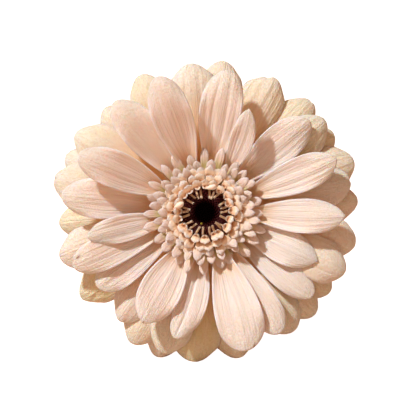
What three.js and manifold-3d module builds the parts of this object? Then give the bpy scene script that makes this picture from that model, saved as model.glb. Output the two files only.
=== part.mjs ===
// Cut gerbera lying on its side: a leafless stalk with its receptacle, three rows of green bracts,
// two sets of ray florets, three rows of trans florets, three rows of open disc florets and the
// dark disc buds. Millimetres, +Z up. The head is modelled in its own frame (face towards +Z,
// receptacle's top at the origin) and then laid down so that its lowest ray tips and the cut end of
// the stalk touch the plane Z = 0.
import * as THREE from 'three';
import { mergeVertices } from 'three/addons/utils/BufferGeometryUtils.js';
import Module from 'manifold-3d';

const wasm = await Module();
wasm.setup();

// ---- driving dimensions, mm and degrees --------------------------------------------------------
const RECEPTACLE_RADIUS = 13.4;
const RECEPTACLE_WALL = 8.6;       // height of the upright wall that carries the ray florets
const RECEPTACLE_DEPTH = 19.5;     // from the flat top to where the stalk begins
const STALK_RADIUS = 3;
const STALK_LENGTH = 165;
const STALK_BEND = 7;              // how far the stalk's cut end bows to one side
const STALK_SAG = 3;               // and down

const BLADE_THICKNESS = 0.7;
const GAP = 0.3;                   // clear space between neighbouring pieces

const RAY_BASE_RADIUS = 14;
const RAY_BASE_HEIGHT = -7;        // lowest level of ray florets, below the receptacle's top
const LEVEL_RISE = 1.15;           // each level of ray florets starts this much higher
const LEVEL_LIFT = 4.5;            // and leans this much more towards the face
const RAY_LIFT = 6;
const RAY_REFLEX = 14;             // a ray floret bends back this much from base to tip
const RAY_CAMBER = 0.09;           // crown across a ray floret, as a share of its width
const RAY_FOOT = 0.16;             // width of a ray floret's foot, as a share of its width
const UPPER_WIDEST = 0.62;         // where a ray floret is widest, as a share of its length
const LOWER_WIDEST = 0.74;

// Each ray floret: angle round the head, reach of its tip from the axis, width, level.
const UPPER_RAYS = [
  [-4, 45.6, 11.7, 5], [20, 46.4, 12, 4], [42, 45.7, 13.3, 3], [66.5, 35.9, 7.2, 5],
  [82, 46.8, 14.3, 4], [109.5, 46.5, 13.6, 5], [128.7, 46.7, 13.3, 4], [155.4, 45.6, 12.7, 5],
  [173.3, 48, 12.7, 3], [194.3, 39.9, 9.3, 5], [205.2, 47.7, 11.6, 4], [217.5, 44.3, 10.3, 3],
  [240.6, 42.3, 14.3, 5], [256, 43.7, 10.7, 4], [288, 48.3, 16, 5], [300.5, 47.7, 11.6, 4],
  [321, 45.9, 10.7, 3], [337, 40.4, 12, 4],
];
const LOWER_RAYS = [
  [2, 51.2, 13.8, 0], [11, 48.2, 13.8, 2], [18, 52.4, 14.9, 1], [31, 50.1, 13.2, 0],
  [36, 49.7, 13.8, 2], [45.6, 51, 13.8, 1], [63.5, 49.7, 15.1, 2], [83, 50.2, 14.6, 1],
  [96.3, 49.2, 15.1, 2], [115.6, 50.2, 13.2, 1], [135.4, 48.3, 13.8, 0], [148.6, 50.2, 14.9, 2],
  [158.7, 50.6, 13.2, 0], [167.4, 51.9, 13.8, 1], [185, 49.4, 13.2, 0], [197, 51.1, 14.3, 2],
  [215, 50.1, 13.8, 0], [231, 46.6, 12.7, 2], [241.4, 51.1, 13.2, 1], [250.6, 52.8, 13.2, 0],
  [254.7, 49.9, 13.8, 2], [266.4, 51, 16.5, 1], [284, 51.4, 15.4, 0], [305.8, 50.1, 14.3, 2],
  [315.6, 50.9, 13.8, 1], [327.6, 50.2, 13.8, 0], [337.4, 50.6, 14.3, 2], [346.4, 51.2, 14.3, 1],
];

// Rows of blades joined at their feet. Bracts hug the cup under the head: foot is the cup's radius
// there and layer counts outwards. Trans florets stand on the receptacle's flat top.
const BRACT_ROWS = [
  { name: 'bracts_outer', count: 14, foot: 5, layer: 2, tipLift: 25, length: 8.5, width: 3.4 },
  { name: 'bracts_middle', count: 16, foot: 7.8, layer: 1, tipLift: 15, length: 8.5, width: 3.8 },
  { name: 'bracts_inner', count: 18, foot: 10.8, layer: 0, tipLift: 5, length: 6.5, width: 4 },
];
const TRANS_ROWS = [
  { name: 'trans_florets_outer', count: 24, radius: 13.2, lift: 28, tipLift: 14, length: 7.6,
    width: 3.2 },
  { name: 'trans_florets_middle', count: 24, radius: 12, lift: 48, tipLift: 32, length: 7.4,
    width: 2.8 },
  { name: 'trans_florets_inner', count: 22, radius: 10.8, lift: 56, tipLift: 46, length: 7,
    width: 2.4 },
];

// Rows of open disc florets: foot radius, lean outwards and height of the tube, mouth radius.
const DISC_ROWS = [
  { name: 'disc_florets_outer', count: 22, radius: 9.4, lean: 20, height: 6.2, mouth: 0.95 },
  { name: 'disc_florets_middle', count: 20, radius: 8.3, lean: 11, height: 6.6, mouth: 0.9 },
  { name: 'disc_florets_inner', count: 18, radius: 7.2, lean: 3, height: 6.4, mouth: 0.85,
    anther: { length: 3, radius: 0.4, lean: -38 } },
];
const TRANS_FOOT = 0.9;            // height of a trans floret's foot above the receptacle's top
const TUBE_FOOT = 0.4;             // radius of a disc floret's tube where it leaves its row's band
const BAND_HEIGHT = 1.2;           // the low ring that joins the feet of a row
const TUBE_SIDES = 4;
const BUDS_RADIUS = 6.4;
const BUDS_HEIGHT = 4.6;
const DOME_SIDES = 20;
const CUP_SIDES = 36;
const TILT_STEPS = 30;             // halvings in the search for how the flower lies

const SKINS = {
  upper: { color: 0xf0d0b8, roughness: 0.6 },
  lower: { color: 0xe9d3b0, roughness: 0.62 },
  trans: { color: 0xedbfa7, roughness: 0.6 },
  disc: { color: 0xecc9a4, roughness: 0.55 },
  buds: { color: 0x1c0a0c, roughness: 0.5 },
  bract: { color: 0x6f8a45, roughness: 0.75 },
  stalk: { color: 0x7d9a4c, roughness: 0.7 },
};

// ---- helpers -----------------------------------------------------------------------------------
const radians = THREE.MathUtils.degToRad;

function namedMesh(name, geometry, skin) {
  const material = new THREE.MeshStandardMaterial({ ...SKINS[skin], metalness: 0 });
  const mesh = new THREE.Mesh(geometry, material);
  mesh.name = name;
  return mesh;
}

// A closed geometry reduced to shared positions.
function welded(geometry) {
  geometry.deleteAttribute('normal');
  geometry.deleteAttribute('uv');
  return mergeVertices(geometry, 1e-5);
}

function solidOf(geometry) {
  const closed = welded(geometry);
  return new wasm.Manifold(new wasm.Mesh({
    numProp: 3,
    vertProperties: Float32Array.from(closed.attributes.position.array),
    triVerts: Uint32Array.from(closed.index.array),
  }));
}

function geometryOf(solid) {
  const mesh = solid.getMesh();
  const geometry = new THREE.BufferGeometry();
  geometry.setAttribute('position', new THREE.BufferAttribute(mesh.vertProperties, 3));
  geometry.setIndex(new THREE.BufferAttribute(mesh.triVerts, 1));
  return geometry;
}

function joined(geometries) {
  const [first, ...rest] = geometries.map(solidOf);
  return geometryOf(rest.reduce((whole, next) => whole.add(next), first));
}

// Point and heading at share t of a blade's spine, an arc that turns from lift to tipLift.
function spine(blade, t) {
  const start = radians(blade.lift);
  const turn = radians(blade.tipLift) - start;
  const heading = start + turn * t;
  return {
    radius: blade.radius + blade.length * (Math.sin(heading) - Math.sin(start)) / turn,
    height: blade.height - blade.length * (Math.cos(heading) - Math.cos(start)) / turn,
    heading,
  };
}

// Half-outline of a ray floret: narrow foot, widest past the middle, rounded blunt tip.
function rayOutline(widest) {
  return (t) => {
    const swell = Math.sin(Math.PI / 2 * Math.min(t / widest, 1)) ** 1.1;
    const past = Math.max(t - widest, 0) / (1 - widest);
    return (RAY_FOOT + (1 - RAY_FOOT) * swell) * Math.sqrt(1 - 0.9 * past ** 2.4);
  };
}

// Half-outline of a small ligule or bract: broad foot, blunt point.
function smallOutline(t) {
  return (0.75 + 0.25 * Math.sin(Math.PI * t)) * (1 - 0.65 * t ** 4);
}

// A thin curved blade that starts at the axis distance blade.radius and points along +X.
function bladeGeometry(blade, outline, across, along) {
  const geometry = new THREE.BoxGeometry(1, 1, BLADE_THICKNESS, across, along, 1);
  const points = geometry.attributes.position;
  for (let i = 0; i < points.count; i += 1) {
    const t = 1 - (0.5 - points.getY(i)) ** 1.3;
    const side = points.getX(i) * 2;
    const share = outline(t);
    const crown = (blade.camber ?? 0) * blade.width * share ** 2 * side ** 2;
    const through = points.getZ(i) - crown;
    const { radius, height, heading } = spine(blade, t);
    points.setXYZ(
      i,
      radius - through * Math.sin(heading),
      -side * share * blade.width / 2,
      height + through * Math.cos(heading),
    );
  }
  return welded(geometry);
}

// The low ring that joins the feet of a row of blades.
function bandGeometry(row) {
  const heading = radians(row.lift);
  const half = BLADE_THICKNESS / 2;
  const corner = (along, through) => new THREE.Vector2(
    row.radius + along * Math.cos(heading) - through * Math.sin(heading),
    row.height + along * Math.sin(heading) + through * Math.cos(heading),
  );
  const outline = [corner(0, -half), corner(BAND_HEIGHT, -half), corner(BAND_HEIGHT, half),
    corner(0, half), corner(0, -half)];
  return uprightLathe(outline, row.count);
}

// A turned solid about the head's axis: outline points are (radius, height).
function uprightLathe(outline, segments) {
  const geometry = new THREE.LatheGeometry(outline, segments);
  geometry.rotateX(Math.PI / 2);
  return geometry;
}

// ---- pieces ------------------------------------------------------------------------------------
function rayMesh(name, [angle, reach, width, level], widest, skin) {
  const blade = {
    radius: RAY_BASE_RADIUS,
    height: RAY_BASE_HEIGHT + LEVEL_RISE * level,
    lift: RAY_LIFT + LEVEL_LIFT * level,
    tipLift: RAY_LIFT + LEVEL_LIFT * level - RAY_REFLEX,
    length: 1,
    width,
    camber: RAY_CAMBER,
  };
  const reachPerLength = spine(blade, 1).radius - blade.radius;
  blade.length = (reach - blade.radius) / reachPerLength;
  const mesh = namedMesh(name, bladeGeometry(blade, rayOutline(widest), 2, 5), skin);
  mesh.rotation.z = radians(angle);
  return mesh;
}

function rayMeshes(rays, prefix, widest, skin) {
  return rays.map((ray, i) => {
    const name = `${prefix}_${String(i + 1).padStart(2, '0')}`;
    return rayMesh(name, ray, widest, skin);
  });
}

// A row of bracts with its foot worked out from the cup that it hugs.
function bractRow(row) {
  const slope = Math.atan2(RECEPTACLE_DEPTH - RECEPTACLE_WALL, RECEPTACLE_RADIUS - STALK_RADIUS);
  const stand = GAP + BLADE_THICKNESS / 2 + row.layer * (BLADE_THICKNESS + GAP);
  const drop = (RECEPTACLE_RADIUS - row.foot) * Math.tan(slope);
  return {
    ...row,
    lift: THREE.MathUtils.radToDeg(slope),
    radius: row.foot + stand * Math.sin(slope),
    height: -RECEPTACLE_WALL - drop - stand * Math.cos(slope),
  };
}

function bladeRowMesh(row, rowIndex, skin) {
  const pieces = [bandGeometry(row)];
  for (let i = 0; i < row.count; i += 1) {
    const blade = bladeGeometry(row, smallOutline, 1, 2);
    blade.rotateZ((i + rowIndex / 2) / row.count * 2 * Math.PI);
    pieces.push(blade);
  }
  return namedMesh(row.name, joined(pieces), skin);
}

// One open disc floret, pointing along +X from the axis: tube, flared mouth and, on the innermost
// row, the anther tube that leans in over the buds.
function discFloretPieces(row) {
  const tube = new THREE.CylinderGeometry(row.mouth, TUBE_FOOT, row.height, TUBE_SIDES);
  tube.rotateX(Math.PI / 2);
  tube.translate(0, 0, row.height / 2);
  tube.rotateY(radians(row.lean));
  tube.translate(row.radius, 0, GAP);
  if (!row.anther) return [tube];
  const { length, radius, lean } = row.anther;
  const anther = new THREE.CylinderGeometry(radius, radius, length, TUBE_SIDES);
  anther.rotateX(Math.PI / 2);
  anther.translate(0, 0, length / 2);
  anther.rotateY(radians(lean));
  const mouthRadius = row.radius + (row.height - radius) * Math.sin(radians(row.lean));
  const mouthHeight = GAP + (row.height - radius) * Math.cos(radians(row.lean));
  anther.translate(mouthRadius, 0, mouthHeight);
  return [tube, anther];
}

function discRowMesh(row, rowIndex) {
  const half = BLADE_THICKNESS / 2;
  const low = GAP;
  const band = uprightLathe([
    new THREE.Vector2(row.radius - half, low),
    new THREE.Vector2(row.radius + half, low),
    new THREE.Vector2(row.radius + half, low + BAND_HEIGHT),
    new THREE.Vector2(row.radius - half, low + BAND_HEIGHT),
    new THREE.Vector2(row.radius - half, low),
  ], row.count);
  const pieces = [band];
  for (let i = 0; i < row.count; i += 1) {
    for (const piece of discFloretPieces(row)) {
      piece.rotateZ((i + rowIndex / 2) / row.count * 2 * Math.PI);
      pieces.push(piece);
    }
  }
  return namedMesh(row.name, joined(pieces), 'disc');
}

// Low dome of closed buds, slightly sunken in the middle.
function budsMesh() {
  const outline = [
    new THREE.Vector2(0, GAP),
    new THREE.Vector2(BUDS_RADIUS, GAP),
    new THREE.Vector2(BUDS_RADIUS, BUDS_HEIGHT * 0.7),
    new THREE.Vector2(BUDS_RADIUS * 0.8, BUDS_HEIGHT * 0.95),
    new THREE.Vector2(BUDS_RADIUS * 0.5, BUDS_HEIGHT),
    new THREE.Vector2(0, BUDS_HEIGHT * 0.85),
  ];
  return namedMesh('disc_buds', uprightLathe(outline, DOME_SIDES), 'buds');
}

// The stalk and its swollen top, grown as one piece.
function scapeMesh() {
  const overlap = 1;
  const receptacle = uprightLathe([
    new THREE.Vector2(0, -RECEPTACLE_DEPTH - overlap),
    new THREE.Vector2(STALK_RADIUS, -RECEPTACLE_DEPTH - overlap),
    new THREE.Vector2(STALK_RADIUS, -RECEPTACLE_DEPTH),
    new THREE.Vector2(RECEPTACLE_RADIUS, -RECEPTACLE_WALL),
    new THREE.Vector2(RECEPTACLE_RADIUS, 0),
    new THREE.Vector2(0, 0),
  ], CUP_SIDES);
  const top = -RECEPTACLE_DEPTH;
  const path = new THREE.CatmullRomCurve3([
    new THREE.Vector3(0, 0, top),
    new THREE.Vector3(0, 0, top - STALK_LENGTH * 0.1),
    new THREE.Vector3(STALK_BEND * 0.35, -STALK_SAG * 0.35, top - STALK_LENGTH * 0.55),
    new THREE.Vector3(STALK_BEND, -STALK_SAG, top - STALK_LENGTH),
  ]);
  const section = new THREE.Shape();
  section.absarc(0, 0, STALK_RADIUS * 1.02, 0, 2 * Math.PI);
  const stalk = new THREE.ExtrudeGeometry(section, {
    extrudePath: path,
    steps: 12,
    curveSegments: 6,
  });
  return namedMesh('scape', joined([receptacle, stalk]), 'stalk');
}

// ---- the flower, laid down ---------------------------------------------------------------------
function flowerHead() {
  const head = new THREE.Group();
  head.add(scapeMesh());
  head.add(...rayMeshes(LOWER_RAYS, 'lower_ray', LOWER_WIDEST, 'lower'));
  head.add(...rayMeshes(UPPER_RAYS, 'upper_ray', UPPER_WIDEST, 'upper'));
  head.add(...BRACT_ROWS.map((row, i) => bladeRowMesh(bractRow(row), i, 'bract')));
  head.add(...TRANS_ROWS.map((row, i) => bladeRowMesh({ ...row, height: TRANS_FOOT }, i, 'trans')));
  head.add(...DISC_ROWS.map(discRowMesh));
  head.add(budsMesh());
  return head;
}

function lowestPoint(object) {
  object.updateWorldMatrix(true, true);
  return new THREE.Box3().setFromObject(object, true).min.z;
}

// Tips the head back until its lowest ray tips and the stalk's cut end are level.
function restOnSide(head) {
  const scape = head.getObjectByName('scape');
  const rays = head.children.filter((mesh) => mesh.name.startsWith('lower_ray'));
  let flat = 0;
  let steep = 30;
  for (let i = 0; i < TILT_STEPS; i += 1) {
    const tilt = (flat + steep) / 2;
    head.rotation.x = radians(90 - tilt);
    head.updateMatrixWorld(true);
    const headLow = Math.min(...rays.map(lowestPoint));
    if (lowestPoint(scape) > headLow) flat = tilt;
    else steep = tilt;
  }
}

function centredOnSurface(head) {
  head.updateMatrixWorld(true);
  const box = new THREE.Box3().setFromObject(head, true);
  const centre = box.getCenter(new THREE.Vector3());
  head.position.set(-centre.x, -centre.y, -box.min.z);
}

const gerbera = new THREE.Group();
const head = flowerHead();
gerbera.add(head);
restOnSide(head);
centredOnSurface(head);
gerbera.updateMatrixWorld(true);

export default gerbera;
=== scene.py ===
# The looks of a cut gerbera that lies on its side. Every size below is in millimetres and in the
# head's own frame (face towards +z, receptacle's flat top at z = 0) until a piece is placed.
import math
import random

import bpy
from mathutils import Matrix, Vector, noise


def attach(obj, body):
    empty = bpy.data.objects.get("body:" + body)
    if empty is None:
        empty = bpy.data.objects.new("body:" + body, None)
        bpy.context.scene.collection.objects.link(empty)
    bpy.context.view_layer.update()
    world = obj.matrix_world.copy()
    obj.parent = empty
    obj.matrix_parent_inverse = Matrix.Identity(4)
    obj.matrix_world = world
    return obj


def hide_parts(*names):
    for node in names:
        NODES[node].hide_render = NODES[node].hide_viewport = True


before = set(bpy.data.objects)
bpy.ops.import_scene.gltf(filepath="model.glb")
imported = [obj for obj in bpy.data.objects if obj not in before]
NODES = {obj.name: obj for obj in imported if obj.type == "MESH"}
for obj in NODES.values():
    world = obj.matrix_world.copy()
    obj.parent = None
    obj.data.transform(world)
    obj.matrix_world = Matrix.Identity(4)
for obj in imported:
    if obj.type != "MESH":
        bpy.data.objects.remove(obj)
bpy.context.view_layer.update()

MM = 0.001
BODY = "root"


# ---- where the head is -------------------------------------------------------------------------
def head_frame(scape):
    """The middle of the receptacle's flat top, with z the way the face looks and x to the right."""
    flat = [f for f in scape.data.polygons if f.normal.y < -0.9]
    area = sum(f.area for f in flat)
    centre = sum((f.center * f.area for f in flat), Vector()) / area
    face = sum((f.normal * f.area for f in flat), Vector()).normalized()
    right = Vector((1, 0, 0))
    up = face.cross(right)
    turn = Matrix((right, up, face)).transposed().to_4x4()
    return Matrix.Translation(centre) @ turn


HEAD = head_frame(NODES["scape"])
HEAD_MM = HEAD @ Matrix.Scale(MM, 4)
TO_HEAD_MM = HEAD_MM.inverted()


def head_points(node_name):
    """A CAD node's vertices in the head's frame, in millimetres."""
    return [TO_HEAD_MM @ v.co for v in NODES[node_name].data.vertices]


# ---- camera, lights and floor ------------------------------------------------------------------
FRAME_WIDTH = 138.7          # how much of the head's plane the picture spans
CAMERA_DISTANCE = 620
AIM = (0.8, 0.7, 4)
FLOOR_GLOW = 1.0
FLOOR_COLOUR = (0.66, 0.46, 0.35, 1)   # what it throws back on the flower; the glow whitens it
ROOM_LIGHT = (0.35, 0.215, 0.15, 1)    # warm, as it comes back off the petals and the table
MIX_A, MIX_B, MIX_RESULT = 6, 7, 2     # a Mix node's colour sockets share names with the others
# A small cool light that slants across the face from its upper left, and a wide warm one in front.
KEY_LIGHT = {"direction": (-0.5, 0.66, 0.56), "distance": 1.3, "size": 0.1, "power": 19,
             "colour": (0.91, 0.945, 1)}
FILL_LIGHT = {"direction": (-0.3, 0.2, 1), "distance": 1.6, "size": 1.4, "power": 1.8,
              "colour": (1, 0.84, 0.74)}


def place_camera():
    data = bpy.data.cameras.new("camera")
    data.sensor_width = 36
    data.lens = data.sensor_width * (CAMERA_DISTANCE - AIM[2]) / FRAME_WIDTH
    data.clip_start = 0.01
    camera = bpy.data.objects.new("camera", data)
    bpy.context.scene.collection.objects.link(camera)
    aim = HEAD_MM @ Vector(AIM)
    camera.matrix_world = Matrix.Translation(aim) @ HEAD.to_3x3().to_4x4() \
        @ Matrix.Translation((0, 0, (CAMERA_DISTANCE - AIM[2]) * MM))
    bpy.context.scene.camera = camera


def place_light(name, direction, distance, size, power, colour):
    """An area light that shines at the head from a direction given in the head's frame."""
    data = bpy.data.lights.new(name, "AREA")
    data.shape = "DISK"
    data.size = size
    data.energy = power
    data.color = colour
    light = bpy.data.objects.new(name, data)
    bpy.context.scene.collection.objects.link(light)
    towards = (HEAD.to_3x3() @ Vector(direction)).normalized()
    light.location = HEAD.translation + towards * distance
    light.rotation_euler = towards.to_track_quat("Z", "Y").to_euler()


def light_scene():
    place_light("key_light", **KEY_LIGHT)
    place_light("fill_light", **FILL_LIGHT)
    world = bpy.data.worlds.new("studio")
    bpy.context.scene.world = world
    world.use_nodes = True
    tree = world.node_tree
    background = tree.nodes["Background"]
    seen = tree.nodes.new("ShaderNodeMix")
    seen.data_type = "RGBA"
    seen.inputs[MIX_A].default_value = ROOM_LIGHT
    seen.inputs[MIX_B].default_value = (1, 1, 1, 1)
    path = tree.nodes.new("ShaderNodeLightPath")
    tree.links.new(path.outputs["Is Camera Ray"], seen.inputs["Factor"])
    tree.links.new(seen.outputs[MIX_RESULT], background.inputs["Color"])
    bpy.context.scene.view_settings.view_transform = "Standard"


def lay_floor():
    """A pale floor that glows a little to the camera alone, so it stays plain under the shadow."""
    bpy.ops.object.select_all(action="DESELECT")
    bpy.ops.mesh.primitive_plane_add(size=12)
    floor = bpy.context.object
    floor.name = "floor"
    material = bpy.data.materials.new("pale_floor")
    material.use_nodes = True
    tree = material.node_tree
    shader = tree.nodes["Principled BSDF"]
    set_finish(shader, {"Base Color": FLOOR_COLOUR, "Roughness": 0.9, "Specular IOR Level": 0.1,
                        "Emission Color": (1, 1, 1, 1)})
    glow = tree.nodes.new("ShaderNodeMath")
    glow.operation = "MULTIPLY"
    glow.inputs[1].default_value = FLOOR_GLOW
    path = tree.nodes.new("ShaderNodeLightPath")
    tree.links.new(path.outputs["Is Camera Ray"], glow.inputs[0])
    tree.links.new(glow.outputs[0], shader.inputs["Emission Strength"])
    floor.data.materials.append(material)


# ---- shader helpers ----------------------------------------------------------------------------
def srgb(red, green, blue):
    """A display colour, 0 to 255, as the linear colour that a shader takes."""
    def linear(value):
        share = value / 255
        return share / 12.92 if share <= 0.04045 else ((share + 0.055) / 1.055) ** 2.4
    return (linear(red), linear(green), linear(blue), 1)


class Nodes:
    """Adds nodes to one tree; a value given to a socket is either a number or another socket."""

    def __init__(self, tree):
        self.tree = tree

    def add(self, kind, settings=None, **sockets):
        node = self.tree.nodes.new(kind)
        for key, value in (settings or {}).items():
            setattr(node, key, value)
        for key, value in sockets.items():
            self.give(node.inputs[key.replace("_", " ")], value)
        return node

    def give(self, socket, value):
        if isinstance(value, bpy.types.NodeSocket):
            self.tree.links.new(value, socket)
        else:
            socket.default_value = value

    def maths(self, operation, first, second=0.0):
        node = self.add("ShaderNodeMath", {"operation": operation})
        self.give(node.inputs[0], first)
        self.give(node.inputs[1], second)
        return node.outputs[0]

    def ramp(self, value, low, high, start=0.0, end=1.0):
        """value from low to high becomes start to end, smoothly."""
        node = self.add("ShaderNodeMapRange", {"interpolation_type": "SMOOTHSTEP"})
        for key, given in zip(("Value", "From Min", "From Max", "To Min", "To Max"),
                              (value, low, high, start, end)):
            self.give(node.inputs[key], given)
        return node.outputs["Result"]

    def blend(self, factor, first, second, blend_type="MIX"):
        node = self.add("ShaderNodeMix", {"data_type": "RGBA", "blend_type": blend_type})
        self.give(node.inputs["Factor"], factor)
        self.give(node.inputs[MIX_A], first)
        self.give(node.inputs[MIX_B], second)
        return node.outputs[MIX_RESULT]

    def noise(self, vector, scale, detail=2.0, roughness=0.5):
        node = self.add("ShaderNodeTexNoise", Vector=vector, Scale=scale, Detail=detail,
                        Roughness=roughness)
        return node.outputs["Fac"]


def new_group(name, inputs, outputs):
    tree = bpy.data.node_groups.new(name, "ShaderNodeTree")
    for label, kind, value in inputs:
        socket = tree.interface.new_socket(label, in_out="INPUT", socket_type=kind)
        if value is not None:
            socket.default_value = value
    for label, kind in outputs:
        tree.interface.new_socket(label, in_out="OUTPUT", socket_type=kind)
    nodes = Nodes(tree)
    return nodes, nodes.add("NodeGroupInput").outputs, nodes.add("NodeGroupOutput").inputs


# ---- shared surface effects --------------------------------------------------------------------
def petal_skin_group():
    """Fine lengthways veins, the grain of a petal's skin near its tip, a mask of its edges, and a
    mask of the grain's dimples for painted shade.
    Reads u across and v along a blade."""
    nodes, given, out = new_group(
        "petal_skin",
        [("UV", "NodeSocketVector", None), ("Seed", "NodeSocketFloat", 0.0),
         ("Veins", "NodeSocketFloat", 14.0), ("Grain", "NodeSocketFloat", 30.0)],
        [("Vein", "NodeSocketFloat"), ("Relief", "NodeSocketFloat"), ("Edge", "NodeSocketFloat"),
         ("Along", "NodeSocketFloat"), ("Mottle", "NodeSocketFloat"),
         ("DimpleShade", "NodeSocketFloat")])
    split = nodes.add("ShaderNodeSeparateXYZ", Vector=given["UV"])
    u, v = split.outputs["X"], split.outputs["Y"]
    shifted = nodes.maths("ADD", u, nodes.maths("MULTIPLY", given["Seed"], 7.3))

    def stretched(across, along):
        vector = nodes.add("ShaderNodeCombineXYZ", X=nodes.maths("MULTIPLY", shifted, across),
                           Y=nodes.maths("MULTIPLY", v, along), Z=given["Seed"])
        return vector.outputs[0]

    streaks = nodes.noise(stretched(given["Veins"], 1.4), 1.0, 3.0, 0.6)
    vein = nodes.ramp(streaks, 0.38, 0.62)
    grain = nodes.noise(stretched(given["Grain"], nodes.maths("MULTIPLY", given["Grain"], 2.2)),
                        1.0, 3.0, 0.65)
    near_tip = nodes.ramp(v, 0.5, 0.92, 0.1, 1.0)
    relief = nodes.maths("ADD", nodes.maths("MULTIPLY", vein, 0.28),
                         nodes.maths("MULTIPLY", grain, near_tip))
    side = nodes.maths("ABSOLUTE", nodes.maths("SUBTRACT", u, 0.5))
    edge = nodes.ramp(side, 0.41, 0.5)
    nodes.give(out["Vein"], vein)
    nodes.give(out["Relief"], relief)
    nodes.give(out["Edge"], edge)
    nodes.give(out["Along"], v)
    nodes.give(out["Mottle"], nodes.noise(stretched(3.0, 4.0), 1.0, 2.0))
    # painted shade: the colour is darkened in the grain's dimples near the tip
    dimple_shade = nodes.ramp(grain, 0.38, 0.56, 1.0, 0.0)
    nodes.give(out["DimpleShade"], nodes.maths("MULTIPLY", dimple_shade, nodes.ramp(v, 0.45, 0.85)))
    return nodes.tree


def plant_skin_group():
    """Streaks and blotches for green parts, on Object coordinates."""
    nodes, given, out = new_group(
        "plant_skin",
        [("Vector", "NodeSocketVector", None), ("Scale", "NodeSocketFloat", 400.0)],
        [("Blotch", "NodeSocketFloat"), ("Relief", "NodeSocketFloat")])
    blotch = nodes.noise(given["Vector"], nodes.maths("MULTIPLY", given["Scale"], 0.3), 3.0)
    relief = nodes.noise(given["Vector"], nodes.maths("MULTIPLY", given["Scale"], 4.0), 3.0, 0.7)
    nodes.give(out["Blotch"], blotch)
    nodes.give(out["Relief"], relief)
    return nodes.tree


PETAL_SKIN = petal_skin_group()
PLANT_SKIN = plant_skin_group()


# ---- materials ---------------------------------------------------------------------------------
SCAR_BROWN = srgb(140, 92, 52)


def set_finish(shader, values):
    for key, value in values.items():
        shader.inputs[key].default_value = value


def new_material(name, roughness, specular):
    material = bpy.data.materials.new(name)
    material.use_nodes = True
    shader = material.node_tree.nodes["Principled BSDF"]
    set_finish(shader, {"Roughness": roughness, "Specular IOR Level": specular})
    return material, shader, Nodes(material.node_tree)


def add_bump(nodes, shader, height, distance, strength):
    bump = nodes.add("ShaderNodeBump", Height=height, Distance=distance, Strength=strength)
    nodes.give(shader.inputs["Normal"], bump.outputs["Normal"])


def petal_material(name, foot, body, tip, edge, cream, veins=14, grain=21, subsurface=0.45,
                   foot_part=(0.1, 0.42), pale=(0.6, 1.0)):
    """A petal's finish: foot, body and tip colours along it, a paler edge that is partly the
    margin's own colour and partly a painted bright rim of light through the thin margin, veins,
    painted shade in the grain's dimples, and its own tone towards cream. foot_part and pale say over
    which shares of the length the foot colour ends and the tip colour begins. Each petal's mesh
    holds its own tone and scar attributes."""
    material, shader, nodes = new_material(name, 0.55, 0.3)
    tone = nodes.add("ShaderNodeAttribute", {"attribute_name": "tone"}).outputs["Fac"]
    scar = nodes.add("ShaderNodeAttribute", {"attribute_name": "scar"}).outputs["Fac"]
    uv = nodes.add("ShaderNodeUVMap").outputs["UV"]
    skin = nodes.add("ShaderNodeGroup", {"node_tree": PETAL_SKIN}, UV=uv, Seed=tone, Veins=veins,
                     Grain=grain).outputs
    along = skin["Along"]
    patch = nodes.maths("MULTIPLY", tone, nodes.ramp(skin["Mottle"], 0.3, 0.7, 0.35, 1.2))
    body_colour = nodes.blend(patch, body, cream)
    colour = nodes.blend(nodes.ramp(along, *foot_part), foot, body_colour)
    tip_colour = nodes.blend(nodes.maths("MULTIPLY", tone, 0.6), tip, cream)
    colour = nodes.blend(nodes.ramp(along, *pale), colour, tip_colour)
    # paler edge: partly the margin's own colour, partly a painted bright rim where light shines
    # through the thin margin
    colour = nodes.blend(nodes.maths("MULTIPLY", skin["Edge"], 0.8), colour, edge)
    darker = nodes.blend(1.0, colour, (0.93, 0.86, 0.8, 1), "MULTIPLY")
    veined = nodes.maths("MULTIPLY", nodes.maths("SUBTRACT", 1.0, skin["Vein"]), 0.35)
    colour = nodes.blend(veined, colour, darker)
    mottled = nodes.ramp(skin["Mottle"], 0.35, 0.7, 0.0, 0.35)
    colour = nodes.blend(mottled, colour, darker)
    # painted shade in the dimples of the grain near the tip
    colour = nodes.blend(skin["DimpleShade"], colour, darker)
    colour = nodes.blend(scar, colour, SCAR_BROWN)
    nodes.give(shader.inputs["Base Color"], colour)
    nodes.give(shader.inputs["Roughness"], nodes.ramp(skin["Relief"], 0.2, 1.2, 0.62, 0.48))
    add_bump(nodes, shader, skin["Relief"], 0.0006, 0.8)
    set_finish(shader, {"Subsurface Weight": subsurface, "Subsurface Radius": (1.0, 0.45, 0.25),
                        "Subsurface Scale": 0.0022, "Sheen Weight": 0.12,
                        "Sheen Roughness": 0.5})
    return material


def green_material(name, light, dark, tip, relief):
    """Green parts: blotched light and dark, turning to the tip colour along a bract."""
    material, shader, nodes = new_material(name, 0.6, 0.35)
    place = nodes.add("ShaderNodeTexCoord").outputs["Object"]
    skin = nodes.add("ShaderNodeGroup", {"node_tree": PLANT_SKIN}, Vector=place,
                     Scale=400.0).outputs
    uv = nodes.add("ShaderNodeUVMap").outputs["UV"]
    along = nodes.add("ShaderNodeSeparateXYZ", Vector=uv).outputs["Y"]
    colour = nodes.blend(nodes.ramp(skin["Blotch"], 0.35, 0.65), light, dark)
    colour = nodes.blend(nodes.ramp(along, 0.7, 1.0, 0.0, 0.8), colour, tip)
    nodes.give(shader.inputs["Base Color"], colour)
    nodes.give(shader.inputs["Roughness"], nodes.ramp(skin["Relief"], 0.3, 0.7, 0.7, 0.5))
    add_bump(nodes, shader, skin["Relief"], relief, 0.6)
    set_finish(shader, {"Subsurface Weight": 0.1, "Subsurface Radius": (0.6, 1.0, 0.3),
                        "Subsurface Scale": 0.001})
    return material


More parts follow.
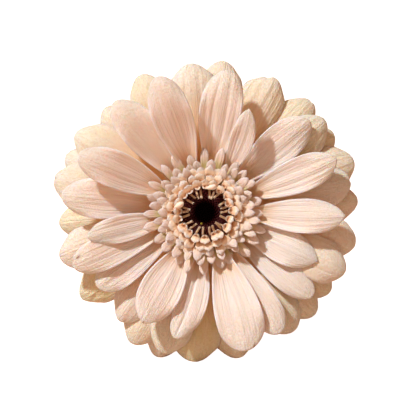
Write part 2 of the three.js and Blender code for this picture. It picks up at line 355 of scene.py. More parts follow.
def bud_material():
    """Closed buds: their own dark maroon outwards, painted near-black and without shine towards the
    middle as painted shade, by tone, and a crumb of pollen by scar.
    """
    material, shader, nodes = new_material("bud_maroon", 0.55, 0.2)
    tone = nodes.add("ShaderNodeAttribute", {"attribute_name": "tone"}).outputs["Fac"]
    scar = nodes.add("ShaderNodeAttribute", {"attribute_name": "scar"}).outputs["Fac"]
    place = nodes.add("ShaderNodeTexCoord").outputs["Object"]
    grain = nodes.noise(place, 3000.0, 2.0)
    # painted shade: near-black in the middle, the buds' own maroon outwards
    colour = nodes.blend(tone, srgb(3, 1, 1), srgb(92, 26, 28))
    colour = nodes.blend(nodes.ramp(grain, 0.4, 0.7, 0.0, 0.5), colour, srgb(20, 5, 6))
    colour = nodes.blend(scar, colour, srgb(170, 150, 60))
    nodes.give(shader.inputs["Base Color"], colour)
    # painted shade: no shine on the buds in the middle
    nodes.give(shader.inputs["Specular IOR Level"], nodes.ramp(tone, 0.0, 1.0, 0.0, 0.35))
    add_bump(nodes, shader, grain, 0.0001, 0.5)
    return material


UPPER_PETAL = petal_material("upper_petal", foot=srgb(248, 200, 158), body=srgb(243, 223, 212),
                             tip=srgb(247, 232, 220), edge=srgb(254, 240, 236),
                             cream=srgb(245, 228, 208), foot_part=(0.05, 0.4))
# lower petals: the warm orange foot colour reaches over most of the length, partly the petals' own
# warmer base, partly painted glow of light bounced and shining through the upper petals into their
# shade
LOWER_PETAL = petal_material("lower_petal", foot=srgb(254, 204, 154), body=srgb(243, 222, 208),
                             tip=srgb(248, 232, 219), edge=srgb(246, 226, 212),
                             cream=srgb(232, 220, 168), foot_part=(0.2, 0.78))
TRANS_FLORET = petal_material("trans_floret", foot=srgb(226, 208, 140), body=srgb(253, 220, 200),
                              tip=srgb(255, 240, 234), edge=srgb(255, 246, 240),
                              cream=srgb(254, 228, 206), veins=7, grain=12, subsurface=0.2,
                              foot_part=(0.3, 0.7))
# disc florets: darker peach foot and near-white tip, partly the lips' own two tones, partly painted
# shade in the gaps between the lips and a painted highlight on their tips
DISC_FLORET = petal_material("disc_floret", foot=srgb(222, 160, 112), body=srgb(253, 208, 166),
                             tip=srgb(255, 250, 242), edge=srgb(252, 228, 202),
                             cream=srgb(254, 226, 194), veins=5, grain=9, subsurface=0.15,
                             pale=(0.45, 0.8))
ANTHER = petal_material("anther_tube", foot=srgb(120, 66, 48), body=srgb(226, 190, 154),
                        tip=srgb(244, 222, 192), edge=srgb(210, 170, 130),
                        cream=srgb(236, 206, 164), veins=5, grain=9, subsurface=0.15)
BRACT = green_material("bract_green", srgb(128, 152, 78), srgb(92, 120, 52), srgb(120, 82, 62),
                       0.0003)
STALK = green_material("stalk_green", srgb(142, 168, 88), srgb(112, 142, 64), srgb(142, 168, 88),
                       0.0002)
CUT_END = green_material("cut_flesh", srgb(206, 214, 160), srgb(186, 200, 132),
                         srgb(206, 214, 160), 0.0003)
# the florets' bed: peach-brown, painted lighter than the receptacle's own dark brown as painted
# light, so the shade in the gaps between the florets shows brown rather than black
FLORET_BED = green_material("floret_bed", srgb(196, 134, 84), srgb(150, 92, 56),
                            srgb(150, 92, 56), 0.0003)
BUD = bud_material()


# ---- blades: petals, ligules, lips and bracts --------------------------------------------------
def smooth(low, high, value):
    share = min(max((value - low) / (high - low), 0), 1)
    return share * share * (3 - 2 * share)


def hump(centre, spread, value):
    return math.exp(-((value - centre) / spread) ** 2)


class Spine:
    """The line down the middle of a blade: it leaves its foot at one lift, turns evenly to
    another, and curls back further over its last part. Lengths in mm, angles in degrees."""
    STEPS = 48

    def __init__(self, radius, height, lift, tip_lift, curl, length=None, reach=None):
        self.turns = (math.radians(lift), math.radians(tip_lift), math.radians(curl))
        unit = self._run(0, 0, 1)
        if length is None:
            length = (reach - radius) / unit[-1][0]
        self.length = length
        self.stations = self._run(radius, height, length)

    def heading(self, t):
        lift, tip_lift, curl = self.turns
        return lift + (tip_lift - lift) * t - curl * max(0, (t - 0.55) / 0.45) ** 2

    def _run(self, radius, height, length):
        step = length / self.STEPS
        stations = [(radius, height)]
        for i in range(self.STEPS):
            heading = self.heading((i + 0.5) / self.STEPS)
            radius += step * math.cos(heading)
            height += step * math.sin(heading)
            stations.append((radius, height))
        return stations

    def at(self, t):
        """Radius, height and heading at a share of the length, past the end in a straight line."""
        place = min(max(t, 0), 1) * self.STEPS
        i = min(int(place), self.STEPS - 1)
        (r0, z0), (r1, z1) = self.stations[i], self.stations[i + 1]
        share = t * self.STEPS - i
        return r0 + (r1 - r0) * share, z0 + (z1 - z0) * share, self.heading(min(max(t, 0), 1))


def outline(shape, u, t):
    """Where a grid point (u across, t along) falls in a blade's flat outline."""
    widest = shape["widest"]
    rise = math.sin(math.pi / 2 * min(t / widest, 1)) ** shape["rise"]
    share = shape["foot"] + (1 - shape["foot"]) * rise
    past = max(t - widest, 0) / (1 - widest)
    across = u * share * math.sqrt(1 - shape["round"] * past ** 2)
    along = t if past == 0 else widest + (1 - widest) * past * math.sqrt(1 - 0.5 * u * u)
    near_tip = max(along - widest, 0) / (1 - widest)
    across *= 1 - shape["point"] * near_tip ** 3
    along += shape["point"] * 0.08 * hump(0, 0.22, u) * near_tip ** 6
    along -= shape["notch"] * hump(shape["notch_at"], 0.16, u) * past ** 4
    return across, along


def relief(shape, u, t, seed):
    """How far a blade's skin stands above its spine, in mm: crown, grooves, waves, crinkles."""
    width = shape["width"]
    tip_part = smooth(0.62, 0.95, t)
    crown = shape["crown"] * smooth(0.05, 0.55, t) * (1 - tip_part) + shape["tip_crown"] * tip_part
    height = -crown * width * u * u
    height += shape["channel"] * width * u * u * (1 - smooth(0.0, 0.45, t))
    open_part = smooth(0.12, 0.4, t) * (1 - smooth(0.86, 1.0, t))
    height += shape["rim"] * width * smooth(0.5, 1, abs(u)) ** 2 * smooth(0, 0.3, t) * (1 - tip_part)
    for place in shape["grooves"]:
        height -= shape["groove_depth"] * hump(place, 0.12, u) * open_part
    ribs = math.cos(u * shape["ribs"] * math.pi)
    height += shape["rib_height"] * ribs * open_part
    height += shape["wave"] * noise.noise(Vector((u * 0.9, t * 2.2, seed)))
    rough = smooth(0.45, 0.95, t)
    height += shape["crinkle"] * rough * noise.noise(Vector((u * 7, t * 15, seed + 5)))
    return height


# A blade's shape. Width, thickness, groove_depth, rib_height, wave and crinkle are in mm, twist
# and bend in degrees, ribs is a count, rise a power, and the others are shares.
PLAIN = {"width": 12, "widest": 0.62, "rise": 1.0, "foot": 0.16, "round": 0.55, "point": 0,
         "notch": 0, "notch_at": 0, "crown": 0.13, "tip_crown": 0.13, "rim": 0,
         "channel": 0.12, "grooves": (-0.36, 0.34), "groove_depth": 0.3, "ribs": 5,
         "rib_height": 0.02, "wave": 0.5, "crinkle": 0.16, "twist": 0, "bend": 0,
         "thickness": 0.45}


def blade_grid(columns, rows):
    bpy.ops.object.select_all(action="DESELECT")
    bpy.ops.mesh.primitive_grid_add(size=2, x_subdivisions=columns, y_subdivisions=rows)
    return bpy.context.object


def paint(mesh, name, value_at):
    """A number for each vertex, for the materials to read."""
    attribute = mesh.attributes.new(name, "FLOAT", "POINT")
    for i, value in enumerate(value_at):
        attribute.data[i].value = value


def paint_whole(piece, tone, scar=0):
    count = len(piece.data.vertices)
    paint(piece.data, "tone", [tone] * count)
    paint(piece.data, "scar", [scar] * count)


def make_blade(spine, shape, columns, rows, angle=0, seed=0, tone=0, scar=None):
    """A closed thin blade along a spine that points out from the head's axis at an angle.
    scar is (u, t, size) of a brown mark, or None."""
    blade = blade_grid(columns, rows)
    mesh = blade.data
    margin = blade.vertex_groups.new(name="full_thickness")
    scars = []
    for vertex in mesh.vertices:
        u, t = vertex.co.x, (vertex.co.y + 1) / 2
        scars.append(scar_strength(scar, u, t, seed))
        margin.add([vertex.index], 1 - 0.7 * smooth(0.75, 1, max(abs(u), 2 * t - 1)), "REPLACE")
        across, along = outline(shape, u, t)
        side = across * shape["width"] / 2
        through = relief(shape, u, t, seed)
        roll = math.radians(shape["twist"]) * smooth(0, 1, along)
        side, through = (side * math.cos(roll) - through * math.sin(roll),
                         side * math.sin(roll) + through * math.cos(roll))
        radius, height, heading = spine.at(along)
        radial = radius - through * math.sin(heading)
        turn = math.radians(angle + shape["bend"] * along ** 2)
        vertex.co = (radial * math.cos(turn) + side * math.sin(turn),
                     radial * math.sin(turn) - side * math.cos(turn),
                     height + through * math.cos(heading))
    paint(mesh, "tone", [tone] * len(mesh.vertices))
    paint(mesh, "scar", scars)
    wall = blade.modifiers.new("wall", "SOLIDIFY")
    wall.thickness = shape["thickness"]
    wall.offset = 0
    wall.vertex_group = margin.name
    wall.thickness_vertex_group = 0.3
    bpy.ops.object.modifier_apply(modifier=wall.name)
    blade.vertex_groups.clear()
    bpy.ops.object.shade_smooth()
    return blade


def scar_strength(scar, u, t, seed):
    if scar is None:
        return 0
    at_u, at_t, size = scar
    ragged = 1 + 0.5 * noise.noise(Vector((u * 6, t * 30, seed)))
    return min(1, 1.2 * hump(0, size * ragged, math.hypot((u - at_u) * 0.5, (t - at_t) * 1.6)))


def settle(piece, name, material, slot, *nodes):
    """Puts a finished piece in its place in the row's frame and on its body."""
    piece.name = name
    piece.data.name = name
    if material is not None:
        piece.data.materials.clear()
        piece.data.materials.append(material)
    piece.data.transform(HEAD_MM)
    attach(piece, BODY)
    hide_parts(*nodes)


def tilt(piece, degrees, axis):
    piece.data.transform(Matrix.Rotation(math.radians(degrees), 4, axis))


def move(piece, place):
    piece.data.transform(Matrix.Translation(place))


def join(pieces):
    bpy.ops.object.select_all(action="DESELECT")
    for piece in pieces:
        piece.select_set(True)
    bpy.context.view_layer.objects.active = pieces[0]
    bpy.ops.object.join()
    return pieces[0]


# ---- ray florets -------------------------------------------------------------------------------
RAY_FOOT_HEIGHT = -7         # lowest level of ray florets, from the receptacle's top
LEVEL_RISE = 1.15
LEVEL_LIFT = 3               # how much more each level leans towards the face, in degrees
RAY_REFLEX = 8               # how far a ray floret turns back from foot to tip, in degrees
SHORTEN_STEP = 0.05          # what is taken off beyond the part that reaches too low


def measured_ray(node_name):
    """Angle, foot radius, reach, width and level of a CAD ray floret."""
    points = head_points(node_name)
    reach = max(p.xy.length for p in points)
    tip = sum((p.xy for p in points if p.xy.length > reach - 2), Vector((0, 0)))
    direction = tip.normalized()
    angle = math.degrees(math.atan2(direction.y, direction.x))
    width = 2 * max(abs(direction.cross(p.xy)) for p in points)
    foot_radius = min(p.xy.length for p in points)
    foot = [p.z for p in points if p.xy.length < foot_radius + 1]
    level = (sum(foot) / len(foot) - RAY_FOOT_HEIGHT) / LEVEL_RISE
    return angle, foot_radius, reach, width, round(level)


# What sets single ray florets apart. Those not named here vary by chance. lift and turn are
# added in degrees, longer in mm, curl is a factor, and the others replace the blade's own value.
UPPER_TRAITS = {
    1: {"point": 0.16, "widest": 0.64, "twist": 8, "grooves": (0.3,), "tone": 0.1},
    2: {"point": 0.1, "widest": 0.66, "twist": 4, "tone": 0.1},
    3: {"widest": 0.64, "twist": -6, "tone": 0.1},
    4: {"point": 0.2, "widest": 0.6, "tone": 0.05, "width": 8, "lift": 10, "turn": -6, "bend": 6},
    5: {"widest": 0.64, "ribs": 4, "rib_height": 0.05, "tone": 0.25, "lift": 7, "curl": 1.8},
    6: {"widest": 0.62, "groove_depth": 0.08, "rib_height": 0.0, "tone": 0.0, "lift": 9,
        "curl": 2},
    7: {"widest": 0.64, "twist": -6, "tone": 0.35, "lift": 7, "curl": 2},
    8: {"widest": 0.62, "twist": -8, "tone": 0.15, "lift": 6, "curl": 1.8},
    9: {"widest": 0.62, "twist": -5, "tone": 0.15, "lift": 4, "width": 13.8},
    10: {"point": 0.05, "widest": 0.56, "twist": 6, "tone": 0.1, "turn": -2},
    11: {"widest": 0.68, "scar": (0.45, 0.95, 0.04), "notch": 0.02, "notch_at": 0.4, "tone": 0.2,
         "turn": -2.5},
    12: {"widest": 0.7, "tone": 0.1, "width": 12, "turn": -3, "lift": 1},
    13: {"point": 0.15, "widest": 0.62, "scar": (0.05, 1.0, 0.03), "tone": 0.05},
    14: {"point": 0.05, "widest": 0.64, "grooves": (0.15,), "groove_depth": 0.5, "tone": 0.05,
         "turn": 8, "bend": -7},
    15: {"widest": 0.72, "scar": (-0.4, 1.0, 0.04), "crinkle": 0.2, "tone": 0.15},
    16: {"widest": 0.74, "crinkle": 0.2, "tone": 0.2},
    17: {"widest": 0.68, "tone": 0.1},
    18: {"point": 0.25, "widest": 0.62, "tone": 0.05, "turn": -2},
}
LOWER_TRAITS = {
    2: {"notch": 0.012, "tone": 0.1, "longer": 1.2},
    4: {"tone": 0.7},
    5: {"tone": 0.5},
    6: {"tone": 0.6, "notch": 0.012},
    7: {"tone": 0.45, "notch": 0.025, "notch_at": -0.35, "rib_height": 0.12},
    8: {"tone": 0.35},
    9: {"tone": 0.25},
    10: {"tone": 0.6},
    12: {"tone": 0.45},
    14: {"tone": 0.3, "scar": (0.1, 1.0, 0.025), "notch": 0.012},
    15: {"tone": 0.7},
    17: {"tone": 0.9, "crinkle": 0.3, "longer": 1.5, "lift": -6},
    18: {"tone": 0.1, "scar": (-0.3, 0.97, 0.02)},
    22: {"tone": 1.0, "groove_depth": 0.15},
    23: {"tone": 0.6},
    26: {"tone": 0.7},
    27: {"tone": 0.2, "lift": 8},
    28: {"tone": 0.2, "lift": 5},
}
LOWER_WIDER = 1.03
LOWER_LONGER = 0.4


def ray_shape(kind, traits, width, chance):
    shape = dict(PLAIN, width=width)
    shape["widest"] = chance.uniform(*kind.widest)
    shape["round"] = chance.uniform(0.48, 0.55)
    shape["twist"] = chance.uniform(-5, 5)
    shape["bend"] = chance.uniform(-1.5, 1.5)
    shape["grooves"] = (-0.36 + chance.uniform(-0.08, 0.08), 0.34 + chance.uniform(-0.08, 0.08))
    shape["groove_depth"] = chance.uniform(0.08, 0.26)
    shape["crinkle"] = kind.rough
    shape["crown"], shape["tip_crown"], shape["rim"] = kind.crown
    shape.update({key: value for key, value in traits.items() if key in shape})
    return shape


class RayKind:
    """What all the ray florets of one layer share."""

    def __init__(self, prefix, count, traits, material, slot, lift, curl, rough, crown, tones,
                 widest, wider, longer):
        self.prefix, self.count, self.traits = prefix, count, traits
        self.material, self.slot, self.lift = material, slot, lift
        self.curl, self.rough, self.crown, self.tones = curl, rough, crown, tones
        self.widest, self.wider, self.longer = widest, wider, longer


def make_rays(kind):
    """One layer of ray florets. One that would reach below the surface is made again, shorter,
    until it stands on it."""
    chance = random.Random(kind.prefix)
    for number in range(1, kind.count + 1):
        node_name = f"{kind.prefix}_ray_{number:02d}"
        angle, foot_radius, reach, width, level = measured_ray(node_name)
        traits = kind.traits.get(number, {})
        tone = chance.uniform(*kind.tones)
        shape = ray_shape(kind, traits, width * kind.wider, chance)
        lift = kind.lift + LEVEL_LIFT * level + traits.get("lift", 0)
        curl = kind.curl * chance.uniform(0.8, 1.2) * traits.get("curl", 1)
        too_low = 1
        reach += kind.longer + traits.get("longer", 0)
        angle += traits.get("turn", 0)
        while too_low > 0:
            spine = Spine(foot_radius, RAY_FOOT_HEIGHT + LEVEL_RISE * level, lift,
                          lift - RAY_REFLEX, curl, reach=reach)
            petal = make_blade(spine, shape, 30, 64, angle, seed=number * 3.7 + level,
                               tone=traits.get("tone", tone), scar=traits.get("scar"))
            too_low = -min((HEAD_MM @ v.co).z for v in petal.data.vertices) / MM
            if too_low > 0:
                bpy.data.objects.remove(petal)
                reach -= too_low + SHORTEN_STEP
        settle(petal, f"{kind.prefix}_petal_{number:02d}", kind.material, kind.slot, node_name)


# ---- rows of small florets and bracts ----------------------------------------------------------
def measured_row(node_name):
    """Least and greatest radius, and least and greatest height, of a CAD row."""
    points = head_points(node_name)
    radii = [p.xy.length for p in points]
    heights = [p.z for p in points]
    return min(radii), max(radii), min(heights), max(heights)


ROW_COLUMNS, ROW_ROWS = 8, 12   # the grid of a small blade
ROW_TWIST = 12


def make_row(node_name, piece_name, count, shape, material, slot, phase, jitter, bow, tones,
             longer=None, shift=False):
    """A row of blades round the head. jitter is (angle, lift, length share); bow is how much a
    blade turns from foot to tip; longer maps a place in the row to a length factor; shift moves
    the row to the florets' common middle."""
    foot_radius, reach, low, high = measured_row(node_name)
    chance = random.Random(piece_name)
    lean = math.degrees(math.atan2(high - low, reach - foot_radius))
    length = math.hypot(high - low, reach - foot_radius)
    blades = []
    for i in range(count):
        lift = lean + chance.uniform(-jitter[1], jitter[1])
        factor = 1 + chance.uniform(-jitter[2], jitter[2])
        if longer:
            factor *= longer.get(i, 1)
        spine = Spine(foot_radius, low + shape["thickness"], lift + bow / 2, lift - bow / 2, 10,
                      length=length * factor)
        own = dict(shape)
        own["twist"] = chance.uniform(-ROW_TWIST, ROW_TWIST)
        own["width"] = shape["width"] * chance.uniform(0.85, 1.12)
        angle = (i + phase) / count * 360 + chance.uniform(-jitter[0], jitter[0])
        blades.append(make_blade(spine, own, ROW_COLUMNS, ROW_ROWS, angle, seed=i * 1.7 + count,
                                 tone=chance.uniform(*tones)))
    piece = join(blades)
    if shift:
        shift_eye(piece)
    settle(piece, piece_name, material, slot, node_name)


LIGULE = dict(PLAIN, width=2.9, widest=0.7, rise=0.6, foot=0.5, round=0.6, point=0.2,
              crown=0.06, tip_crown=0.16, rim=0.02, channel=0.1, grooves=(-0.05,),
              groove_depth=0.08, ribs=2, rib_height=0.02, wave=0.2, crinkle=0.05,
              thickness=0.24)
BRACT_SHAPE = dict(PLAIN, width=3.6, widest=0.45, rise=0.6, foot=0.6, round=0.6, point=0.6,
                   crown=0.1, channel=0.05, grooves=(0.0,), groove_depth=-0.25, ribs=3,
                   rib_height=0.04, wave=0.3, crinkle=0.08, thickness=0.6)


def make_trans_florets():
    rows = [("outer", 24, 3.0, 26, {5: 1.25, 6: 1.25, 8: 1.15, 18: 1.15}),
            ("middle", 24, 2.9, 50, None),
            ("inner", 22, 2.8, 66, None)]
    for index, (place, count, width, bow, longer) in enumerate(rows):
        make_row(f"trans_florets_{place}", f"trans_ligules_{place}", count,
                 dict(LIGULE, width=width), TRANS_FLORET, "trans_pink", index / 2,
                 (3.5, 8, 0.16), bow, (0, 0.8), longer=longer, shift=True)


def make_bracts():
    rows = [("outer", 14, 3.6, 24), ("middle", 16, 4, 30), ("inner", 18, 4.2, 36)]
    for index, (place, count, width, bow) in enumerate(rows):
        make_row(f"bracts_{place}", f"green_bracts_{place}", count,
                 dict(BRACT_SHAPE, width=width), BRACT, "bract_green", index / 2,
                 (2, 2, 0.06), bow, (0, 1))


# ---- disc: open florets with anther tubes, and closed buds -------------------------------------
DISC_LIP = dict(PLAIN, width=2.8, widest=0.55, rise=0.6, foot=0.4, round=0.5, point=0.5,
                crown=0.12, tip_crown=0.16, channel=0.2, grooves=(0.0,), groove_depth=0.06,
                ribs=1, rib_height=0.0, wave=0.3, crinkle=0.05, thickness=0.22)


def add_tube(radius_low, radius_high, length, sides=10):
    """An upright tube that stands on z = 0, with a rounded rim."""
    bpy.ops.object.select_all(action="DESELECT")
    bpy.ops.mesh.primitive_cone_add(vertices=sides, radius1=radius_low, radius2=radius_high,
                                    depth=length, location=(0, 0, length / 2))
    tube = bpy.context.object
    bpy.ops.object.mode_set(mode="EDIT")
    bpy.ops.mesh.select_mode(type="FACE")
    bpy.ops.mesh.select_all(action="DESELECT")
    bpy.ops.object.mode_set(mode="OBJECT")
    for face in tube.data.polygons:
        face.select = face.normal.z > 0.9
    bpy.ops.object.mode_set(mode="EDIT")
    bpy.ops.mesh.inset(thickness=radius_high * 0.35)
    bpy.ops.transform.translate(value=(0, 0, -length * 0.12))
    bpy.ops.object.mode_set(mode="OBJECT")
    tube.data.transform(tube.matrix_world)
    tube.matrix_world = Matrix.Identity(4)
    return tube


def unwrap_upright(piece, length):
    """u round the piece and v up it, as on a blade."""
    layer = piece.data.uv_layers.active or piece.data.uv_layers.new(name="UVMap")
    for loop in piece.data.loops:
        point = piece.data.vertices[loop.vertex_index].co
        layer.data[loop.index].uv = (0.5 + math.atan2(point.y, point.x) / (2 * math.pi),
                                     min(max(point.z / length, 0), 1))
    layer.name = "UVMap"


def unwrap_plain(piece, along):
    """Gives a whole piece the finish that a blade has in its middle, at one share of its length."""
    layer = piece.data.uv_layers.active or piece.data.uv_layers.new(name="UVMap")
    for item in layer.data:
        item.uv = (0.5, along)
    layer.name = "UVMap"


def make_floret(row, chance, seed):
    """One open disc floret that leans out along x: tube, broad outer lip, and as many narrow inner
    lips as the row's lobes, up to two.
    """
    tube = add_tube(0.42, row["mouth"] * 0.8, row["height"])
    unwrap_upright(tube, row["height"] * 2.2)
    tone = chance.uniform(0, 1)
    paint_whole(tube, tone)
    pieces = [tube]
    lip = dict(DISC_LIP, width=row["lip_width"] * chance.uniform(0.85, 1.15),
               twist=chance.uniform(-20, 20))
    rise = row["lip_lift"] + chance.uniform(-12, 12)
    spine = Spine(row["mouth"] * 0.25, row["height"] * 0.86, rise, rise - row["lip_turn"], 10,
                  length=row["lip"] * chance.uniform(0.85, 1.15))
    pieces.append(make_blade(spine, lip, 8, 10, chance.uniform(-14, 14), seed, tone))
    for side in (-1, 1)[:row["lobes"]]:
        inner = dict(DISC_LIP, width=row["lip_width"] * 0.4, twist=side * 20)
        spine = Spine(row["mouth"] * 0.4, row["height"] * 0.9, 82, 30, 40, length=row["lip"] * 0.4)
        pieces.append(make_blade(spine, inner, 4, 5, 180 + side * 45, seed + side, tone))
    floret = join(pieces)
    tilt(floret, row["lean"] + chance.uniform(-4, 4), "Y")
    move(floret, (row["radius"], 0, 0.3))
    return floret


ANTHER_COUNT = 22
ANTHER_LENGTH = (3.0, 4.0)
ANTHER_LEAN = (52, 80)       # how far it leans in from upright, in degrees
ANTHER_TURN = 14             # how far it may turn sideways
ANTHER_FOOT, ANTHER_TIP = 0.34, 0.42   # radii
ANTHER_SINK = 2.6            # how far its foot is below the florets' mouths


def make_anther(row, chance):
    """A slim tube that leans in over the buds, with a hollow tip."""
    length = chance.uniform(*ANTHER_LENGTH)
    anther = add_tube(ANTHER_FOOT, ANTHER_TIP, length, 8)
    unwrap_upright(anther, length)
    paint_whole(anther, chance.uniform(0, 1))
    lean = -chance.uniform(*ANTHER_LEAN)
    tilt(anther, lean, "Y")
    tilt(anther, chance.uniform(-ANTHER_TURN, ANTHER_TURN), "Z")
    move(anther, (row["radius"] + 0.3, 0, row["height"] - ANTHER_SINK))
    return anther


DISC_ROWS = [
    {"place": "outer", "count": 26, "radius": 10.2, "lean": 20, "height": 5.4, "mouth": 0.95,
     "lip": 3.4, "lip_width": 3.5, "lip_lift": 66, "lip_turn": 76, "lobes": 0},
    {"place": "middle", "count": 24, "radius": 9.1, "lean": 11, "height": 6.0, "mouth": 0.9,
     "lip": 3.2, "lip_width": 3.3, "lip_lift": 70, "lip_turn": 78, "lobes": 0},
    {"place": "inner", "count": 20, "radius": 8.0, "lean": 3, "height": 6.5, "mouth": 0.85,
     "lip": 3.0, "lip_width": 3.1, "lip_lift": 82, "lip_turn": 76, "lobes": 2},
]


EYE_SHIFT = Vector((-0.2, -0.7, 0))     # the florets' common middle is a little off the axis


def shift_eye(piece):
    move(piece, EYE_SHIFT)


CLOSED_FLORETS = [            # radius, angle, height, length, width and heading of closed florets
    (8.9, 165, 8.6, 3.7, 2.3, 28), (8.5, 76, 8.8, 3.5, 2.0, 14)]
PALE_TIP = 0.9               # how far along a blade its finish is palest


def make_closed_florets():
    """A few pale florets among the innermost ones that have not opened."""
    pieces = []
    for radius, angle, height, length, width, heading in CLOSED_FLORETS:
        bpy.ops.object.select_all(action="DESELECT")
        bpy.ops.mesh.primitive_uv_sphere_add(segments=20, ring_count=14, radius=0.5)
        floret = bpy.context.object
        for vertex in floret.data.vertices:
            taper = 1 - 0.35 * smooth(-0.1, 0.5, -vertex.co.z)
            vertex.co = (vertex.co.x * width * taper, vertex.co.y * width * 0.9 * taper,
                         vertex.co.z * length)
        unwrap_plain(floret, PALE_TIP)
        paint_whole(floret, 0.8)
        tilt(floret, 82, "Y")
        tilt(floret, heading, "Z")
        place = math.radians(angle)
        move(floret, (radius * math.cos(place), radius * math.sin(place), height))
        pieces.append(floret)
    piece = join(pieces)
    bpy.ops.object.shade_smooth()
    shift_eye(piece)
    settle(piece, "closed_florets", DISC_FLORET, "disc_cream", "disc_florets_inner")


def make_disc():
    make_closed_florets()
    for index, row in enumerate(DISC_ROWS):
        chance = random.Random(row["place"])
        florets = []
        for i in range(row["count"]):
            floret = make_floret(row, chance, i * 2.3 + index)
            turn = (i + index / 2 + chance.uniform(-0.2, 0.2)) / row["count"] * 2 * math.pi
            floret.data.transform(Matrix.Rotation(turn, 4, "Z"))
            florets.append(floret)
        node_name = f"disc_florets_{row['place']}"
        piece = join(florets)
        bpy.ops.object.shade_smooth_by_angle(angle=math.radians(50))
        shift_eye(piece)
        settle(piece, f"open_florets_{row['place']}", DISC_FLORET, "disc_cream", node_name)
    make_anthers(DISC_ROWS[-1])
    make_buds()


def make_anthers(row):
    chance = random.Random("anthers")
    anthers = []
    for i in range(ANTHER_COUNT):
        anther = make_anther(row, chance)
        turn = (i + chance.uniform(-0.25, 0.25)) / ANTHER_COUNT * 2 * math.pi
        anther.data.transform(Matrix.Rotation(turn, 4, "Z"))
        anthers.append(anther)
    piece = join(anthers)
    bpy.ops.object.shade_smooth_by_angle(angle=math.radians(40))
    shift_eye(piece)
    settle(piece, "anther_tubes", ANTHER, "disc_cream", "disc_florets_inner")


BUD_SPACING = 0.43           # how fast the spiral of buds opens
GOLDEN_ANGLE = math.radians(137.508)
BUD_RADIUS = 0.43
BUD_STRETCH = 1.9            # a bud's height against its width
BUD_LEAN = 22                # how far the outermost buds lean outwards, in degrees
BUD_OVERHANG = 1.3           # how far the buds reach past their bed
BED_SINK = 1.6               # how far the bed's top is below the top of the CAD dome
POLLEN_BUD = 83              # the bud that is coloured as a crumb of pollen


def make_buds():
    """Buds on a sunflower spiral, sunk a little in the middle and at the rim, on a bed painted
    near-black as painted shade between them.
    """
    _, bed_edge, low, high = measured_row("disc_buds")
    edge = bed_edge + BUD_OVERHANG
    chance = random.Random("buds")
    bpy.ops.object.select_all(action="DESELECT")
    bpy.ops.mesh.primitive_uv_sphere_add(segments=8, ring_count=5, radius=BUD_RADIUS)
    seed_bud = bpy.context.object
    buds = []
    count = int((edge / BUD_SPACING) ** 2)
    for i in range(count):
        radius = BUD_SPACING * math.sqrt(i + 0.5)
        share = radius / edge
        height = high - 0.5 - 0.8 * (1 - smooth(0, 0.6, share)) - 0.9 * smooth(0.7, 1, share)
        bud = seed_bud.copy()
        bud.data = seed_bud.data.copy()
        bpy.context.scene.collection.objects.link(bud)
        bud.data.transform(Matrix.Diagonal((1, 1, BUD_STRETCH, 1)))
        tilt(bud, BUD_LEAN * share, "Y")
        move(bud, (radius, 0, height + chance.uniform(-0.1, 0.1)))
        bud.data.transform(Matrix.Rotation(i * GOLDEN_ANGLE, 4, "Z"))
        # tone: near-black painted shade in the middle, the buds' own maroon towards the rim
        paint_whole(bud, smooth(0.38, 0.8, share), float(i == POLLEN_BUD))
        buds.append(bud)
    bpy.data.objects.remove(seed_bud)
    buds.append(make_bud_bed(bed_edge, low, high))
    piece = join(buds)
    bpy.ops.object.shade_smooth()
    shift_eye(piece)
    settle(piece, "closed_buds", BUD, "bud_maroon", "disc_buds")


def make_bud_bed(radius, low, high):
    """The bed that the buds stand in, painted near-black (tone 0) as painted shade."""
    bpy.ops.object.select_all(action="DESELECT")
    depth = high - low - BED_SINK
    bpy.ops.mesh.primitive_cylinder_add(vertices=32, radius=radius, depth=depth,
                                        location=(0, 0, low + depth / 2))
    bed = bpy.context.object
    bed.data.transform(bed.matrix_world)
    bed.matrix_world = Matrix.Identity(4)
    paint_whole(bed, 0)
    return bed


# ---- the scape: stalk and receptacle -----------------------------------------------------------
STALK_TOP = -19.5            # where the stalk meets the receptacle
STALK_RADIUS = 2.85
STALK_SIDES, STALK_STEPS = 40, 60
CAD_STALK_SIDES = 12         # corners in each ring of the CAD stalk
NECK_RADIUS = 3.1            # of the receptacle where it meets the stalk
NECK_STEPS = 5
SPIN_STEPS = 48
CUT_END_SLOT, FLORET_BED_SLOT = 1, 2


def stalk_line():
    """The middle of the CAD stalk at each of its rings, from the receptacle down."""
    points = sorted(head_points("scape"), key=lambda p: -p.z)
    below = [p for p in points if p.z < STALK_TOP - 1.5]
    merged = []
    for p in below:
        if all((p - q).length > 0.05 for q in merged[-40:]):
            merged.append(p)
    sides = CAD_STALK_SIDES
    rings = [merged[i:i + sides] for i in range(0, len(merged), sides)]
    return [sum(ring, Vector()) / len(ring) for ring in rings if len(ring) == sides]


def make_scape():
    """The stalk: a cylinder cut into rings and bent along the CAD stalk's middle line."""
    line = [Vector((0, 0, STALK_TOP))] + stalk_line()
    bpy.ops.object.select_all(action="DESELECT")
    bpy.ops.mesh.primitive_cylinder_add(vertices=STALK_SIDES, radius=1, depth=1)
    scape = bpy.context.object
    bpy.ops.object.mode_set(mode="EDIT")
    bpy.ops.mesh.select_mode(type="EDGE")
    bpy.ops.mesh.select_all(action="DESELECT")
    bpy.ops.object.mode_set(mode="OBJECT")
    for edge in scape.data.edges:
        low, high = (scape.data.vertices[i].co for i in edge.vertices)
        edge.select = abs(low.z - high.z) > 0.5
    bpy.ops.object.mode_set(mode="EDIT")
    bpy.ops.mesh.subdivide_edgering(number_cuts=STALK_STEPS - 1, interpolation="LINEAR")
    bpy.ops.object.mode_set(mode="OBJECT")
    for vertex in scape.data.vertices:
        t = 0.5 - vertex.co.z
        angle = math.atan2(vertex.co.y, vertex.co.x)
        vertex.co = stalk_point(line, STALK_RADIUS, t, angle)
    finish_scape(scape)


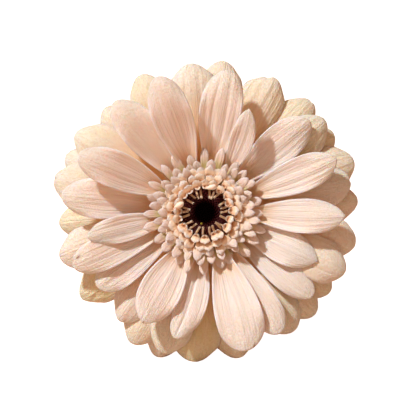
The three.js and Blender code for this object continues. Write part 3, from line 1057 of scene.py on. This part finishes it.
def stalk_point(line, radius, t, angle):
    """A point on the stalk's skin: faint ribs, a little wider under the head and at the cut."""
    place = t * (len(line) - 1)
    i = min(int(place), len(line) - 2)
    centre = line[i].lerp(line[i + 1], place - i)
    swell = 1 + 0.05 * math.sin(t * 9) + 0.1 * (1 - smooth(0, 0.06, t)) + 0.04 * smooth(0.9, 1, t)
    ribs = 1 + 0.03 * math.cos(angle * 9 + t * 4)
    reach = radius * swell * ribs
    return centre + Vector((math.cos(angle) * reach, math.sin(angle) * reach, 0))


def finish_scape(scape):
    """Joins stalk and receptacle, and gives the cut end and the florets' bed their own finish."""
    bpy.ops.object.shade_smooth_by_angle(angle=math.radians(40))
    receptacle = make_receptacle()
    piece = join([scape, receptacle])
    piece.data.materials.append(STALK)
    piece.data.materials.append(CUT_END)
    piece.data.materials.append(FLORET_BED)
    lowest = min(v.co.z for v in piece.data.vertices)
    for face in piece.data.polygons:
        if face.center.z < lowest + 2.5 and len(face.vertices) > 6:
            face.material_index = CUT_END_SLOT
        elif face.center.z > -0.5:
            face.material_index = FLORET_BED_SLOT
    unwrap_plain(piece, 0)
    settle(piece, "stalk_with_receptacle", None, "stalk_green", "scape")


def make_receptacle():
    """Turned outline of the stalk's swollen top, drawn from the axis and spun round it."""
    points = head_points("scape")
    rim = max(p.xy.length for p in points)
    wall = min(p.z for p in points if p.xy.length > rim - 0.5)
    profile = [(NECK_RADIUS - 0.2, STALK_TOP - 1), (NECK_RADIUS, STALK_TOP)]
    for i in range(1, NECK_STEPS + 1):
        t = i / NECK_STEPS
        profile.append((NECK_RADIUS + (rim - NECK_RADIUS) * t,
                        STALK_TOP + (wall - STALK_TOP) * t ** 1.1))
    profile += [(rim, -1), (rim - 0.5, -0.2), (rim - 1.2, 0)]
    mesh = bpy.data.meshes.new("receptacle")
    corners = [(0, 0, STALK_TOP - 1)] + [(r, 0, z) for r, z in profile] + [(0, 0, 0)]
    mesh.from_pydata(corners, [(i, i + 1) for i in range(len(corners) - 1)], [])
    receptacle = bpy.data.objects.new("receptacle", mesh)
    bpy.context.scene.collection.objects.link(receptacle)
    bpy.ops.object.select_all(action="DESELECT")
    receptacle.select_set(True)
    bpy.context.view_layer.objects.active = receptacle
    bpy.ops.object.mode_set(mode="EDIT")
    bpy.ops.mesh.select_all(action="SELECT")
    bpy.ops.mesh.spin(steps=SPIN_STEPS, angle=2 * math.pi, center=(0, 0, 0), axis=(0, 0, 1))
    bpy.ops.mesh.select_all(action="SELECT")
    bpy.ops.mesh.remove_doubles(threshold=0.001)
    bpy.ops.mesh.normals_make_consistent(inside=False)
    bpy.ops.object.mode_set(mode="OBJECT")
    bpy.ops.object.shade_smooth_by_angle(angle=math.radians(40))
    return receptacle


# ---- everything --------------------------------------------------------------------------------
place_camera()
light_scene()
lay_floor()
make_rays(RayKind("lower", 28, LOWER_TRAITS, LOWER_PETAL, "lower_cream", lift=8, curl=42,
                  rough=0.14, crown=(0.14, 0.2, 0.02), tones=(0.1, 0.45), widest=(0.73, 0.8),
                  wider=LOWER_WIDER, longer=LOWER_LONGER))
make_rays(RayKind("upper", 18, UPPER_TRAITS, UPPER_PETAL, "upper_peach", lift=10, curl=20,
                  rough=0.12, crown=(0.0, 0.13, 0.045), tones=(0.0, 0.3), widest=(0.6, 0.68),
                  wider=1, longer=0))
make_trans_florets()
make_bracts()
make_disc()
make_scape()
